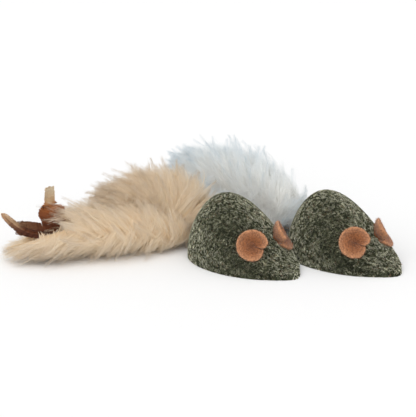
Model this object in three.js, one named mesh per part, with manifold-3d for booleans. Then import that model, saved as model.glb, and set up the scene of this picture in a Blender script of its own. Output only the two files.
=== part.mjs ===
// Pair of pressed catnip mice with felt ears and feather tails.
// Millimetres, +Z up. Both mice look along +X. The origin is the middle of mouse A's flat base, and
// mouse B lies on its left, towards +Y.
import * as THREE from "three";
import { mergeVertices } from "three/addons/utils/BufferGeometryUtils.js";
import Module from "manifold-3d";

const wasm = await Module();
wasm.setup();
const degrees = THREE.MathUtils.degToRad;

// Gap kept between pieces that touch, and the step of searches along the body
const CLEARANCE = 0.3;
const SEARCH_STEP = 0.01;

// Pressed body: an egg in plan and in profile, flat underneath, with a low upright rim
const BODY_LENGTH = 60;
const BODY_WIDTH = 42;
const BODY_HEIGHT = 30;
const BODY_RIM = 2.2;
const PLAN_REAR_POWER = 0.45;
const PLAN_NOSE_POWER = 0.61;
const BACK_REAR_POWER = 0.65;
const BACK_NOSE_POWER = 1.67;
const SECTION_POWER = 1.9;
const BODY_STATIONS = 28;
const SECTION_STEPS = 18;

// Felt ear: a dished disc with one dart, on a pinched root that is glued into a socket
const EAR_DIAMETER = 14.6;
const EAR_THICKNESS = 1.9;
const EAR_DISH_DEPTH = 1.7;
const EAR_ROOT_DIAMETER = 4.4;
const EAR_ROOT_DEPTH = 3.2;
const EAR_STANDOFF = 1.5;
const EAR_FROM_NOSE = 18;
const EAR_FORWARD = BODY_LENGTH / 2 - EAR_FROM_NOSE;
const EAR_FROM_SIDE = 13;
const EAR_SPREAD = BODY_WIDTH - 2 * EAR_FROM_SIDE;
const EAR_SPLAY = degrees(47);
const EAR_TILT = degrees(27);
const EAR_DART_WIDTH = 3.2;
const EAR_DART_INNER = 1.6;
const EAR_DART_INWARDS = 0.55;
const EAR_DART_DROP = 0.15;
const EAR_SEGMENTS = 24;
const EAR_DISH_STEPS = 3;

// Tail root: a glue plug in a blind hole, and a thread binding that gathers the quills
const TAIL_HEIGHT = 8;
const HOLE_DIAMETER = 6;
const HOLE_DEPTH = 11;
const PLUG_DOME = 1.2;
const BINDING_DIAMETER = 5.2;
const BINDING_TURNS = 4;
const BINDING_GROOVE = 0.16;
const STEPS_PER_TURN = 4;
const DOME_STEPS = 3;
const ROUND_SEGMENTS = 16;

// Quills leave the binding on a small circle
const QUILL_DIAMETER = 1.3;
const QUILL_CIRCLE_DIAMETER = 3.8;
const QUILL_SLOTS = 5;
const UPPER_PLUME_SLOT = 0;
const MAIN_PLUME_SLOT = 3;

// Marabou plumes: tufts of barbs in rows that overlap like shingles
const PLUME_BARE_QUILL = 2.5;
const TUFT_ROWS = 8;
const TUFTS_AROUND = 5;
const TUFT_DEPTH = 0.2;
const TUFT_SCALLOP = 0.18;
const TUFT_STEP = 0.2;
const POINTS_PER_TUFT = 4;

// Where the plumes' spines run: how far out they start to turn, and the heights they pass
const MAIN_TURN_IN = 27;
const MAIN_TURN_OUT = 31;
const MAIN_TIP_DROP = 0.5;
const UPPER_TURN_IN = 12;
const UPPER_TURN_OUT = 20;
const UPPER_RISE = 10;
const UPPER_CROWN = 19;
const UPPER_TIP_RISE = 9;

// Hackles: narrow cock feathers with a ragged vane on the outer half of a bare quill
const HACKLE_THICKNESS = 0.9;
const HACKLE_EDGE_THICKNESS = 0.45;
const HACKLE_SPLITS = 4;
const HACKLE_SPLIT_DEPTH = 0.16;
const HACKLE_STEM_STATIONS = 9;
const VANE_ROOT_POWER = 0.6;
const VANE_TIP_POWER = 0.35;
const HACKLE_STEM_SHARES = [0.3, 0.65, 1];
// Each stem leaves the main plume at a share of its length, set off to the tail's right and up. From there
// the vane's bend and its tip lie so far ahead and up.
const HACKLES = [
  {
    name: "hackle_upright", slot: 1, width: 10, leave: 0.68, stemAside: 7, stemRise: 5,
    bendAhead: 4.5, bendRise: 6.5, tipAhead: 2.8, tipRise: 19.5,
  },
  {
    name: "hackle_blunt", slot: 2, width: 7, leave: 0.66, stemAside: 4, stemRise: 2.5,
    bendAhead: 12.5, bendRise: 2.2, tipAhead: 25, tipRise: 5.5,
  },
  {
    name: "hackle_curled", slot: 4, width: 4.5, leave: 0.68, stemAside: 1, stemRise: 0,
    bendAhead: 19, bendRise: 4.5, tipAhead: 32, tipRise: 17,
  },
];

// Each tail's plumes, with the turns of each from straight back to the mouse's right, how far the main one
// arches up, how blunt the root and tip are, and how much of the hackles' rise the tail shows
const TAIL_A = {
  main: {
    length: 92, width: 40, height: 28, startTurn: degrees(50), turn: degrees(63), endTurn: degrees(55),
    rise: 6, rootPower: 0.6, tipPower: 0.6,
  },
  upper: { length: 48, width: 23, height: 32, turn: degrees(47), rootPower: 0.25, tipPower: 0.9 },
  hackleCurl: 1,
};
const TAIL_B = {
  main: {
    length: 96, width: 24, height: 28, startTurn: degrees(0), turn: degrees(2), endTurn: degrees(-6),
    rise: 1, rootPower: 0.3, tipPower: 0.6,
  },
  upper: { length: 84, width: 22, height: 46, turn: degrees(3), rootPower: 0.12, tipPower: 0.7 },
  hackleCurl: 0.3,
};

// How the pair lies: mouse B is set ahead of mouse A, and their outlines all but touch
const PAIR_AHEAD = 29.3;
const PAIR_GAP = 0.3;

const UP = new THREE.Vector3(0, 0, 1);

// Geometry helpers

// A hump over t = 0..1 that peaks at 1 and falls to 0 at both ends
function hump(t, startPower, endPower) {
  const peak = startPower / (startPower + endPower);
  const scale = peak ** startPower * (1 - peak) ** endPower;
  return (t ** startPower * (1 - t) ** endPower) / scale;
}

// Closed skin over rings of equal length that turn anticlockwise about the way they advance
function loft(rings, startCentre, endCentre) {
  const count = rings[0].length;
  const points = rings.flat();
  const startIndex = points.push(startCentre) - 1;
  const endIndex = points.push(endCentre) - 1;
  const lastRing = (rings.length - 1) * count;
  const index = [];
  for (let j = 0; j < count; j += 1) {
    const next = (j + 1) % count;
    index.push(startIndex, next, j);
    index.push(endIndex, lastRing + j, lastRing + next);
    for (let base = 0; base < lastRing; base += count) {
      index.push(base + j, base + next, base + count + next);
      index.push(base + j, base + count + next, base + count + j);
    }
  }
  const geometry = new THREE.BufferGeometry().setFromPoints(points);
  geometry.setIndex(index);
  geometry.computeVertexNormals();
  return geometry;
}

function solidOf(geometry) {
  const bare = geometry.clone();
  bare.deleteAttribute("normal");
  bare.deleteAttribute("uv");
  const merged = mergeVertices(bare);
  const mesh = new wasm.Mesh({
    numProp: 3,
    vertProperties: new Float32Array(merged.attributes.position.array),
    triVerts: new Uint32Array(merged.index.array),
  });
  return new wasm.Manifold(mesh);
}

function geometryOf(solid) {
  const mesh = solid.getMesh();
  const geometry = new THREE.BufferGeometry();
  geometry.setAttribute("position", new THREE.BufferAttribute(mesh.vertProperties, 3));
  geometry.setIndex(new THREE.BufferAttribute(mesh.triVerts, 1));
  geometry.computeVertexNormals();
  return geometry;
}

// What is left of a piece after its cuts, without any offcut that comes away
function cut(geometry, ...tools) {
  let solid = solidOf(geometry);
  for (const tool of tools) {
    solid = solid.subtract(solidOf(tool));
  }
  const bodies = solid.decompose().sort((a, b) => b.volume() - a.volume());
  return geometryOf(bodies[0]);
}

// Revolve of a (radius, height) profile about +Z
function revolve(profile, segments) {
  const points = profile.map(([radius, height]) => new THREE.Vector2(radius, height));
  return new THREE.LatheGeometry(points, segments).rotateX(Math.PI / 2);
}

function mesh(name, geometry, material) {
  const made = new THREE.Mesh(geometry, material);
  made.name = name;
  return made;
}

function matt(color) {
  return new THREE.MeshStandardMaterial({ color, roughness: 0.9, metalness: 0 });
}

// Pressed body

function bodyHalfWidth(t) {
  return (BODY_WIDTH / 2) * hump(t, PLAN_REAR_POWER, PLAN_NOSE_POWER);
}

function bodyDome(t) {
  return (BODY_HEIGHT - BODY_RIM) * hump(t, BACK_REAR_POWER, BACK_NOSE_POWER);
}

function bodyRing(t) {
  const x = (t - 0.5) * BODY_LENGTH;
  const halfWidth = bodyHalfWidth(t);
  const ring = [new THREE.Vector3(x, halfWidth, 0)];
  for (let step = 0; step <= SECTION_STEPS; step += 1) {
    const angle = (Math.PI * step) / SECTION_STEPS;
    const across = Math.sign(Math.cos(angle)) * Math.abs(Math.cos(angle)) ** (2 / SECTION_POWER);
    const rise = Math.max(Math.sin(angle), 0) ** (2 / SECTION_POWER);
    ring.push(new THREE.Vector3(x, halfWidth * across, BODY_RIM + bodyDome(t) * rise));
  }
  ring.push(new THREE.Vector3(x, -halfWidth, 0));
  return ring;
}

function bodyHeightAt(x, y) {
  const t = x / BODY_LENGTH + 0.5;
  const across = Math.abs(y) / bodyHalfWidth(t);
  return BODY_RIM + bodyDome(t) * (1 - across ** SECTION_POWER) ** (1 / SECTION_POWER);
}

// Where the back's outline reaches a height on its rear slope
function bodyRearAt(height) {
  let low = 0;
  let high = BACK_REAR_POWER / (BACK_REAR_POWER + BACK_NOSE_POWER);
  while ((high - low) * BODY_LENGTH > SEARCH_STEP) {
    const middle = (low + high) / 2;
    if (BODY_RIM + bodyDome(middle) < height) {
      low = middle;
    } else {
      high = middle;
    }
  }
  return (low - 0.5) * BODY_LENGTH;
}

function bodyBlank() {
  const rings = [];
  for (let station = 1; station < BODY_STATIONS; station += 1) {
    rings.push(bodyRing((1 - Math.cos((Math.PI * station) / BODY_STATIONS)) / 2));
  }
  const rear = new THREE.Vector3(-BODY_LENGTH / 2, 0, BODY_RIM / 2);
  const nose = new THREE.Vector3(BODY_LENGTH / 2, 0, BODY_RIM / 2);
  return loft(rings, rear, nose);
}

function tailHole() {
  const rear = bodyRearAt(TAIL_HEIGHT);
  const length = 2 * HOLE_DEPTH;
  const hole = new THREE.CylinderGeometry(HOLE_DIAMETER / 2, HOLE_DIAMETER / 2, length, ROUND_SEGMENTS);
  return hole.rotateZ(Math.PI / 2).translate(rear, 0, TAIL_HEIGHT);
}

function earSocket(side) {
  const radius = EAR_ROOT_DIAMETER / 2 + CLEARANCE;
  const depth = EAR_ROOT_DEPTH + CLEARANCE;
  const socket = new THREE.CylinderGeometry(radius, radius, 2 * depth, ROUND_SEGMENTS);
  return socket.rotateX(Math.PI / 2).applyMatrix4(earPlacement(side));
}

function bodyGeometry() {
  return cut(bodyBlank(), tailHole(), earSocket(1), earSocket(-1));
}

// Felt ears

// The ear's own +Z looks out of the disc, and its +X, where the dart is, looks forward, inwards and down
function earPlacement(side) {
  const facing = new THREE.Vector3(Math.cos(EAR_SPLAY), side * Math.sin(EAR_SPLAY), 0);
  facing.multiplyScalar(Math.cos(EAR_TILT)).addScaledVector(UP, Math.sin(EAR_TILT));
  const dart = new THREE.Vector3(1, -side * EAR_DART_INWARDS, -EAR_DART_DROP);
  dart.addScaledVector(facing, -dart.dot(facing)).normalize();
  const across = new THREE.Vector3().crossVectors(facing, dart);
  const y = (side * EAR_SPREAD) / 2;
  const placement = new THREE.Matrix4().makeBasis(dart, across, facing);
  return placement.setPosition(EAR_FORWARD, y, bodyHeightAt(EAR_FORWARD, y));
}

function earProfile() {
  const rim = EAR_DIAMETER / 2;
  const edge = EAR_THICKNESS / 2;
  const root = EAR_ROOT_DIAMETER / 2;
  const dishAt = (radius) => EAR_STANDOFF + EAR_DISH_DEPTH * (radius / rim) ** 2;
  const profile = [[0, -EAR_ROOT_DEPTH], [root, -EAR_ROOT_DEPTH], [root, dishAt(root)]];
  const top = [];
  for (let step = 1; step <= EAR_DISH_STEPS; step += 1) {
    const radius = root + ((rim - edge - root) * step) / EAR_DISH_STEPS;
    profile.push([radius, dishAt(radius)]);
    top.unshift([radius, dishAt(radius) + EAR_THICKNESS]);
  }
  profile.push([rim, dishAt(rim) + edge]);
  return [...profile, ...top, [0, EAR_STANDOFF + EAR_THICKNESS]];
}

function earDart() {
  const reach = EAR_DIAMETER;
  const halfMouth = ((EAR_DART_WIDTH / 2) * (reach - EAR_DART_INNER)) / (EAR_DIAMETER / 2 - EAR_DART_INNER);
  const wedge = new THREE.Shape();
  wedge.moveTo(EAR_DART_INNER, 0);
  wedge.lineTo(reach, -halfMouth);
  wedge.lineTo(reach, halfMouth);
  const depth = EAR_THICKNESS + EAR_DISH_DEPTH;
  const start = EAR_STANDOFF + CLEARANCE;
  return new THREE.ExtrudeGeometry(wedge, { depth: 2 * depth, bevelEnabled: false }).translate(0, 0, start);
}

function earGeometry() {
  return cut(revolve(earProfile(), EAR_SEGMENTS), earDart());
}

// Tail root

function plugGeometry() {
  const radius = HOLE_DIAMETER / 2 - CLEARANCE;
  const depth = HOLE_DEPTH - CLEARANCE;
  const profile = [[0, -depth], [radius, -depth], [radius, 0]];
  for (let step = 1; step < DOME_STEPS; step += 1) {
    const turn = (Math.PI / 2) * (step / DOME_STEPS);
    profile.push([radius * Math.cos(turn), PLUG_DOME * Math.sin(turn)]);
  }
  profile.push([0, PLUG_DOME]);
  return revolve(profile, ROUND_SEGMENTS).rotateY(Math.PI / 2);
}

// Turns of thread wound to a ball round the quills
function bindingGeometry() {
  const radius = BINDING_DIAMETER / 2;
  const steps = STEPS_PER_TURN * BINDING_TURNS;
  const profile = [];
  for (let step = 0; step <= steps; step += 1) {
    const angle = (Math.PI * step) / steps - Math.PI / 2;
    const groove = (BINDING_GROOVE * (1 + Math.cos((2 * Math.PI * step) / STEPS_PER_TURN))) / 2;
    const across = step % steps === 0 ? 0 : (radius - groove) * Math.cos(angle);
    profile.push([across, (radius - groove) * Math.sin(angle)]);
  }
  return revolve(profile, ROUND_SEGMENTS).rotateY(Math.PI / 2);
}

// Feathers, in the tail's own frame: +X straight out of the body, +Z up, origin in the binding

function quillStart(slot) {
  const angle = Math.PI / 2 + (2 * Math.PI * slot) / QUILL_SLOTS;
  const radius = QUILL_CIRCLE_DIAMETER / 2;
  const out = BINDING_DIAMETER / 2 + CLEARANCE;
  return new THREE.Vector3(out, radius * Math.cos(angle), radius * Math.sin(angle));
}

function headingVector(turn, length, rise) {
  return new THREE.Vector3(length * Math.cos(turn), length * Math.sin(turn), rise);
}

function mainSpine(plume) {
  const start = quillStart(MAIN_PLUME_SLOT);
  const tip = headingVector(plume.turn, plume.length, -MAIN_TIP_DROP);
  const turnIn = start.clone().add(headingVector(plume.startTurn, MAIN_TURN_IN, plume.rise));
  const turnOut = tip.clone().sub(headingVector(plume.endTurn, MAIN_TURN_OUT, -MAIN_TIP_DROP - plume.rise));
  return new THREE.CubicBezierCurve3(start, turnIn, turnOut, tip);
}

function upperSpine(plume) {
  const start = quillStart(UPPER_PLUME_SLOT);
  const tip = headingVector(plume.turn, plume.length, UPPER_TIP_RISE);
  const turnIn = start.clone().add(headingVector(0, UPPER_TURN_IN, UPPER_RISE));
  const turnOut = tip.clone().sub(headingVector(plume.turn, UPPER_TURN_OUT, UPPER_TIP_RISE - UPPER_CROWN));
  return new THREE.CubicBezierCurve3(start, turnIn, turnOut, tip);
}

// Centre of a feather's spine at a share of its length, with the ways up and to its left there
function frameAt(spine, share) {
  const place = THREE.MathUtils.clamp(share, 0, 1);
  const tangent = spine.getTangentAt(place);
  const left = new THREE.Vector3().crossVectors(UP, tangent).normalize();
  const rise = new THREE.Vector3().crossVectors(tangent, left);
  return { centre: spine.getPointAt(place), tangent, left, rise };
}

function ringPoint(spine, share, toLeft, upwards) {
  const { centre, left, rise } = frameAt(spine, share);
  return centre.addScaledVector(left, toLeft).addScaledVector(rise, upwards);
}

function hackleSpine(main, hackle, curl) {
  const points = [quillStart(hackle.slot)];
  for (const share of HACKLE_STEM_SHARES) {
    const { centre, left } = frameAt(main, hackle.leave * share);
    centre.addScaledVector(left, -hackle.stemAside * share);
    points.push(centre.addScaledVector(UP, hackle.stemRise * share));
  }
  const stemEnd = points.at(-1);
  const { tangent } = frameAt(main, hackle.leave);
  const bend = stemEnd.clone().addScaledVector(tangent, hackle.bendAhead);
  const tip = stemEnd.clone().addScaledVector(tangent, hackle.tipAhead);
  bend.addScaledVector(UP, hackle.bendRise * curl);
  tip.addScaledVector(UP, hackle.tipRise * curl);
  return new THREE.CatmullRomCurve3([...points, bend, tip]);
}

function plumeRing(spine, size, share, scale, scallop) {
  const ring = [];
  const count = TUFTS_AROUND * POINTS_PER_TUFT;
  const least = QUILL_DIAMETER / 2 + size.grow;
  for (let step = 0; step < count; step += 1) {
    const angle = (2 * Math.PI * step) / count;
    const place = share + scallop * hump(share, 1, 1) * Math.cos(TUFTS_AROUND * angle);
    const swell = scale * hump(place, size.rootPower, size.tipPower);
    const toLeft = Math.max(least, (swell * size.width) / 2 + size.grow) * Math.cos(angle);
    const upwards = Math.max(least, (swell * size.height) / 2 + size.grow) * Math.sin(angle);
    ring.push(ringPoint(spine, place, toLeft, upwards));
  }
  return ring;
}

// A plume of tufts, each row flaring to a scalloped edge over the row beyond it
function plumeGeometry(spine, size) {
  const bare = PLUME_BARE_QUILL / spine.getLength();
  const pitch = (1 - bare) / TUFT_ROWS;
  const rings = [plumeRing(spine, size, 0, 0, 0), plumeRing(spine, size, bare, 0, 0)];
  for (let row = 0; row < TUFT_ROWS; row += 1) {
    const start = bare + pitch * row;
    const scallop = pitch * size.scallop * (row % 2 === 0 ? 1 : -1);
    rings.push(plumeRing(spine, size, start + pitch * TUFT_STEP, 1 - size.depth, scallop));
    rings.push(plumeRing(spine, size, start + pitch * (1 - TUFT_STEP), 1, scallop));
  }
  return loft(rings, spine.getPointAt(0), spine.getPointAt(1));
}

function hackleRing(spine, share, halfWidth, grow) {
  const half = Math.max(halfWidth, QUILL_DIAMETER / 2) + grow;
  const middle = HACKLE_THICKNESS / 2 + grow;
  const edge = HACKLE_EDGE_THICKNESS / 2 + grow;
  const outline = [[middle, 0], [edge, half], [-edge, half], [-middle, 0], [-edge, -half], [edge, -half]];
  return outline.map(([toLeft, upwards]) => ringPoint(spine, share, toLeft, upwards));
}

// A narrow feather: a bare quill, then a vane whose edges are split into a few ragged tufts
function hackleGeometry(spine, width, vaneStart, grow) {
  const rings = [];
  for (let station = 0; station <= HACKLE_STEM_STATIONS; station += 1) {
    rings.push(hackleRing(spine, (vaneStart * station) / HACKLE_STEM_STATIONS, 0, grow));
  }
  for (let split = 0; split < HACKLE_SPLITS; split += 1) {
    for (const step of [TUFT_STEP, 0.5, 1 - TUFT_STEP]) {
      const vane = (split + step) / HACKLE_SPLITS;
      const ragged = 1 - HACKLE_SPLIT_DEPTH * (1 - step);
      const halfWidth = (width / 2) * ragged * hump(vane, VANE_ROOT_POWER, VANE_TIP_POWER);
      rings.push(hackleRing(spine, vaneStart + (1 - vaneStart) * vane, halfWidth, grow));
    }
  }
  return loft(rings, spine.getPointAt(0), spine.getPointAt(1));
}

// All that is under the floor, as wide as a tail of this length can reach
function floorBlock(length) {
  const span = 2 * length;
  return new THREE.BoxGeometry(span, span, span).translate(0, 0, -TAIL_HEIGHT - span / 2);
}

// All of one tail's feathers: the main plume is cut by the hackles, and the upper plume by both
function feathers(prefix, tail, plumeMaterial, hackleMaterial) {
  const main = mainSpine(tail.main);
  const upper = upperSpine(tail.upper);
  const tufted = { grow: 0, depth: TUFT_DEPTH, scallop: TUFT_SCALLOP };
  const smooth = { grow: CLEARANCE, depth: 0, scallop: 0 };
  const group = new THREE.Group();
  const channels = [];
  for (const hackle of HACKLES) {
    const spine = hackleSpine(main, hackle, tail.hackleCurl);
    const vaneStart = hackle.leave;
    channels.push(hackleGeometry(spine, hackle.width, vaneStart, CLEARANCE));
    const geometry = hackleGeometry(spine, hackle.width, vaneStart, 0);
    group.add(mesh(`${prefix}_${hackle.name}`, geometry, hackleMaterial));
  }
  const floor = floorBlock(tail.main.length);
  const mainPlume = cut(plumeGeometry(main, { ...tail.main, ...tufted }), floor, ...channels);
  const mainSheath = plumeGeometry(main, { ...tail.main, ...smooth });
  const upperPlume = cut(plumeGeometry(upper, { ...tail.upper, ...tufted }), floor, mainSheath, ...channels);
  group.add(mesh(`${prefix}_main_plume`, mainPlume, plumeMaterial));
  group.add(mesh(`${prefix}_upper_plume`, upperPlume, plumeMaterial));
  return group;
}

// Assembly

const CATNIP = matt(0x42473a);
const FELT = matt(0xa9673f);
const GLUE = new THREE.MeshStandardMaterial({ color: 0xcdbf9c, roughness: 0.35, metalness: 0 });
const THREAD = matt(0x7a5234);
const TAN_PLUME = matt(0xd8b68c);
const WHITE_PLUME = matt(0xd9d7d1);
const BROWN_HACKLE = matt(0x7c4221);

function ear(name, side) {
  const made = mesh(name, earGeometry(), FELT);
  earPlacement(side).decompose(made.position, made.quaternion, made.scale);
  return made;
}

function mouse(prefix, tail, plumeMaterial) {
  const group = new THREE.Group();
  group.add(mesh(`${prefix}_body`, bodyGeometry(), CATNIP));
  group.add(ear(`${prefix}_left_ear`, 1), ear(`${prefix}_right_ear`, -1));
  const rear = bodyRearAt(TAIL_HEIGHT);
  const plug = mesh(`${prefix}_tail_plug`, plugGeometry(), GLUE);
  plug.position.set(rear, 0, TAIL_HEIGHT);
  plug.rotation.z = Math.PI;
  const tailGroup = new THREE.Group();
  tailGroup.position.set(rear - PLUG_DOME - CLEARANCE - BINDING_DIAMETER / 2, 0, TAIL_HEIGHT);
  tailGroup.rotation.z = Math.PI;
  tailGroup.add(mesh(`${prefix}_tail_binding`, bindingGeometry(), THREAD));
  tailGroup.add(feathers(prefix, tail, plumeMaterial, BROWN_HACKLE));
  group.add(plug, tailGroup);
  return group;
}

// Least distance between two bodies' centre lines that keeps their outlines apart, in plan
function pairSpacing() {
  let widest = 0;
  for (let x = PAIR_AHEAD - BODY_LENGTH / 2; x < BODY_LENGTH / 2; x += SEARCH_STEP) {
    const nearHalf = bodyHalfWidth(x / BODY_LENGTH + 0.5);
    const farHalf = bodyHalfWidth((x - PAIR_AHEAD) / BODY_LENGTH + 0.5);
    widest = Math.max(widest, nearHalf + farHalf);
  }
  return widest + PAIR_GAP;
}

const mouseA = mouse("mouse_a", TAIL_A, TAN_PLUME);
const mouseB = mouse("mouse_b", TAIL_B, WHITE_PLUME);
mouseB.position.set(PAIR_AHEAD, pairSpacing(), 0);

const pair = new THREE.Group();
pair.add(mouseA, mouseB);

export default pair;
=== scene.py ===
import math

import bpy
import numpy as np
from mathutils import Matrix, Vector, noise


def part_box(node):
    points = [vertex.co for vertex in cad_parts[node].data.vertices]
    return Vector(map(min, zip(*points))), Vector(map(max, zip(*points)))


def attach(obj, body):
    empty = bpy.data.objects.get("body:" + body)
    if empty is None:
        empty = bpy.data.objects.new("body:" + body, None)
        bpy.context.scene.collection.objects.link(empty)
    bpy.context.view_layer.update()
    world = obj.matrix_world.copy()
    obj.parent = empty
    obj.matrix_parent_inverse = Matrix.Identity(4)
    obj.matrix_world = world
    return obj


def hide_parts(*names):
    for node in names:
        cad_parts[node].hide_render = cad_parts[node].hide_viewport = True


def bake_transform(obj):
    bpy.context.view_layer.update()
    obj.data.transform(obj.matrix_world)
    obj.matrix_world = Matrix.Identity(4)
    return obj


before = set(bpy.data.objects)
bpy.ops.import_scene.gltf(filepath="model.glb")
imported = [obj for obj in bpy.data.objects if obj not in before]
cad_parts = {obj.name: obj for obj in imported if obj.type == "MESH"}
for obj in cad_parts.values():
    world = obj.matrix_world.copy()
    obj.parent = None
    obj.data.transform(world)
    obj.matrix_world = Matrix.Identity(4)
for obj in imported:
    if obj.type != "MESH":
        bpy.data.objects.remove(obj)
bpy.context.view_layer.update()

scene = bpy.context.scene
scene.view_settings.view_transform = "Standard"

# Sizes are in millimetres and angles in degrees, and each mesh is brought to metres as it is made
MM = 0.001
ACROSS = np.array([0.0, 1.0, 0.0])
UP = np.array([0.0, 0.0, 1.0])
TURNED_BACK = np.array([-1, -1, 1])
MIRRORED = np.array([1, -1, 1])
ON_FLOOR = np.array([1, 1, 0])
ROUND_SIDES = 20
THIN_SIDES = 8

# The camera: the way it looks, and the picture's pixel at which one point of the floor is seen
PICTURE_WIDTH = 416
PICTURE_HEIGHT = 417
CAMERA_AZIMUTH = 46.4
CAMERA_ELEVATION = 18.3
CAMERA_DISTANCE = 816
PIXELS_PER_MM = 2.11
AIM_POINT = (-28.7, -5.5, 0)
AIM_PIXEL = (195.2, 249.3)
SENSOR_WIDTH = 36

# Studio light: an even sky and one wide soft lamp high in front of the set, together a level of about 1
SKY_LEVEL = 0.72
LAMP_LEVEL = 0.5
LAMP_TILT = 38
LAMP_HEADING = 30
LAMP_SPREAD = 80
FLOOR_RADIUS = 3000
FLOOR_SIDES = 64
FLOOR_TONE = 0.91

# Pressed body: the same egg as the solid, and the flakes of dried leaf in its skin
BODY_LENGTH = 60
BODY_WIDTH = 42
BODY_HEIGHT = 30
BODY_RIM = 2.2
PLAN_POWERS = (0.45, 0.61)
BACK_POWERS = (0.65, 1.67)
SECTION_POWER = 1.9
BODY_STATIONS = 110
SECTION_STEPS = 84
BODY_END_MARGIN = 1e-4
LEAST_BODY_LEVEL = 0.2
RIM_STEPS = 3
CORE_OUTSET = 0.12
CORE_LUMP_SIZE = 1.6
CORE_LUMP_HEIGHT = 0.06
LUMP_OFFSETS = (1, 0.7, 1.3)
EDGE_HEIGHT = 2 * BODY_RIM
EDGE_LUMP_SIZE = 2 * CORE_LUMP_SIZE
EDGE_SEED_STEP = 5
EDGE_RAGGED = 0.45
NOSE_LIP = 2
NOSE_LIP_START = 0.88
FLAKE_COUNT = 17500
FLAKE_LENGTH = 1.1
FLAKE_LENGTH_SPREAD = 0.38
FLAKE_WIDTH = 0.34
FLAKE_WIDTH_SPREAD = 0.42
FLAKE_SINK = 0.12
FLAKE_WALL = 0.3
FLAKE_WALL_SPLAY = 1.05
FLAKE_TILT = 0.1
FLAKE_SKEW = (-0.35, 0.15)
FLAKE_FLOOR_GAP = 0.02
TONE_CELLS = 32
TONE_CELL_FILL = 0.8

# Felt ear: a dished disc with one dart whose upper lip laps over the lower one
EAR_DIAMETER = 14.6
EAR_THICKNESS = 1.9
EAR_DISH = 2.4
EAR_STANDOFF = -0.5
EAR_BEND_STEP = 0.25
EAR_BEND_MOST = 6
EAR_BEND_SMOOTHING = 4
EAR_FORWARD = 12
EAR_SPREAD = 16
EAR_SPLAY = 47
EAR_TILT = 27
EAR_ROOT_DIAMETER = 4.4
EAR_ROOT_DEPTH = 3.2
EAR_ROOT_FLARE = 0.25
EAR_ROOT_RINGS = 6
# Where the root sits on the felt's painted shade, which runs from dark in the dish to light at the rim
EAR_ROOT_SHADE_SHARE = 0.3
EAR_DART_HALF_ANGLE = 2
EAR_DART_INWARDS = 0.55
EAR_DART_DROP = 0.15
EAR_NOTCH_DEPTH = 2.2
EAR_UPPER_LOBE_ANGLE = 30
EAR_LOWER_LOBE_ANGLE = 55
EAR_ROLL = 0.8
EAR_ROLL_START = 0.45
EAR_ROLL_SPAN = 0.4
EAR_LIP_ANGLE = 70
EAR_LIP_RISE = 1.3
EAR_LIP_DROP = 1.3
EAR_RINGS = 22
EAR_CENTRE = 0.02
EAR_SPOKES = 120
EAR_EDGE_STEPS = 8
EAR_LUMP_SIZE = 1.1
EAR_LUMP_HEIGHT = 0.16
FUZZ_COUNT = 2600
FUZZ_LENGTH = 0.75
FUZZ_SHORTEST = 0.4
FUZZ_WIDTH = 0.05
FUZZ_TAPER = 0.7
FUZZ_POINTS = 3
FUZZ_LEAN = 1.4
FUZZ_CURL = 0.5
FUZZ_CURL_SPREAD = 0.8
# Where the loose fibres sit on the felt's painted shade, near its light rim
FUZZ_SHADE_SHARE = 0.9

# Tail root: the glue plug in its hole, and the thread wound round the quills
PLUG_RADIUS = 2.7
PLUG_DEPTH = 10.7
PLUG_DOME = 1.2
PLUG_RINGS = 6
PLUG_DOME_RINGS = 9
PLUG_SIDES = 32
PLUG_WAVES = ((0.05, 3, 1), (0.03, 5, 0))
LEAST_RADIUS = 0.05
BINDING_DIAMETER = 5.2
BINDING_TURNS = 7
BINDING_GAP = 0.3
BALL_RINGS = 14
THREAD_DIAMETER = 0.75
THREAD_ENDS = (0.02, 0.98)
THREAD_STEPS = 40
QUILL_DIAMETER = 1.3
QUILL_TAPER = 0.85
QUILL_CIRCLE_DIAMETER = 3.8
QUILL_SLOTS = 5
QUILL_OUT = BINDING_DIAMETER / 2 + BINDING_GAP

# Plumes: where their spines run, and how the barbs grow on them
MAIN_PLUME_SLOT = 3
MAIN_TURN_IN = 27
MAIN_TURN_OUT = 31
MAIN_TIP_DROP = 0.5
UPPER_PLUME_SLOT = 0
UPPER_TURN_IN = 12
UPPER_TURN_OUT = 20
UPPER_RISE = 10
UPPER_CROWN = 19
UPPER_TIP_RISE = 9
SPINE_STEPS = 240
SPINE_PIECE_STEPS = 60
STEEP = 0.999
PLUME_QUILL_END = 0.97
PLUME_QUILL_RINGS = 40
BARB_POINTS = 6
BARB_STEPS = np.linspace(0, 1, BARB_POINTS)
BARB_ROOT_WIDTH = 0.22
BARB_TIP_WIDTH = 0.05
BARB_TAPER_POWER = 1.3
BARB_WIDTH_SPREAD = (0.7, 1.2)
BARB_START = 0.02
BARB_END = 0.88
BARB_CROWDING = 0.85
BARB_LAST = (0.8, 1.03)
BARB_SIZE_SHARES = (0.02, 0.97)
BARB_COLUMNS = 64
BARB_ROLL = 25
BARB_ROOT_RADIUS = 0.72
BARB_START_SPREAD = 28
BARB_TURN = (30, 100)
BARB_TURN_POWER = 0.9
BARB_EVEN_SWEEP = 0.6
BARB_SWEEP_SPREAD = 3.5
LEFT_SHARE = 0.5
BARB_REACH = 0.96
BARB_FLARE = 0.12
BARB_FLARE_POWER = 1.6
TUFT_SHARE = 0.13
TUFT_GAIN = 3
TUFT_FLARE = (0.12, 0.5)
TUFT_HOLD = 0.9
TUFT_COLUMNS = 8
ROOT_TUFTS = 0.15
ROOT_TUFT_START = (0.5, 2)
DOWN_SIZE = 0.6
DOWN_START = 0.06
DOWN_END = 0.7
DOWN_RINGS = 40
DOWN_SIDES = 28
DOWN_TONE_REACH = 0.4
BARB_TRANSLUCENCY = 0.55
CLUMP_SHARE_SPREAD = 0.012
CLUMP_ANGLE_SPREAD = 9
CLUMP_HOLD = 0.5
CLUMP_REACH = (0.85, 1.05)
CLUMP_DRIFT = 7 / 6
STRAND_REACH = (0.86, 1.04)
STRAND_TURN_SPREAD = 0.1
STRAND_SWEEP_SPREAD = 1.2
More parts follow.
